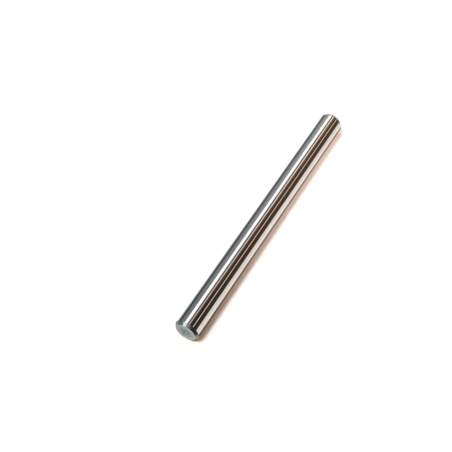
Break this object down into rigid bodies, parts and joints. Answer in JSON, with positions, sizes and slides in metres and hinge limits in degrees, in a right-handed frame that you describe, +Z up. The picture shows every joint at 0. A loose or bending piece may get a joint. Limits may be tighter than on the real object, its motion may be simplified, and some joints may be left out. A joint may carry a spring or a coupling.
{
  "type": "guide shaft",
  "caption": "Plain round guide shaft: a straight ground bar with a mirror-bright running surface, flat end faces and a small chamfer on each end.",
  "frame": {"origin": "centre of the lower end face, where the shaft's axis meets the surface it stands on", "axes": "+Z up the shaft's axis to the other end face; X and Y are any two square directions, because the shaft is round"},
  "size_m": [0.01, 0.01, 0.12],
  "materials": {
    "ground_steel": "hardened steel, ground and polished to a mirror along the bar, with turned chamfers and satin faced ends"
  },
  "bodies": {
    "root": {"guide_shaft": "ground_steel"}
  },
  "joints": []
}
